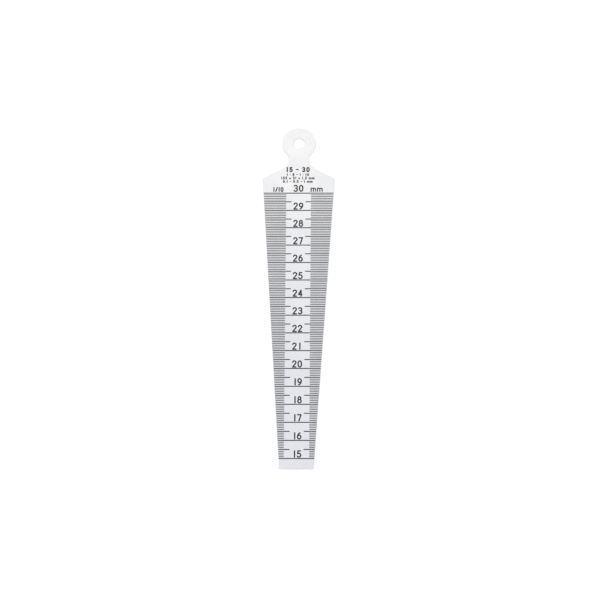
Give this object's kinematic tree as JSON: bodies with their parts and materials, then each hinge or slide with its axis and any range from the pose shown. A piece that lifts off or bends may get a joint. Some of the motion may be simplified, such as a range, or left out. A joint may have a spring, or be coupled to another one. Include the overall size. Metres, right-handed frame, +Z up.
{
  "type": "taper gauge",
  "caption": "Flat steel wedge gauge with a graduated scale across its tapering blade, for reading the width of holes and slots, and a round hanging ring on a narrow neck.",
  "frame": {"origin": "under the middle of the gauge's length and width, on its back face", "axes": "+Y along the blade from the tip to the hanging ring, +X across the blade, +Z up through the sheet to the graduated face"},
  "size_m": [0.0308, 0.155, 0.0012],
  "materials": {
    "steel": "satin, with black-filled engraved lines",
    "line_fill": "black enamel in the engraving"
  },
  "bodies": {
    "root": {"gauge_plate": "steel"}
  },
  "joints": []
}
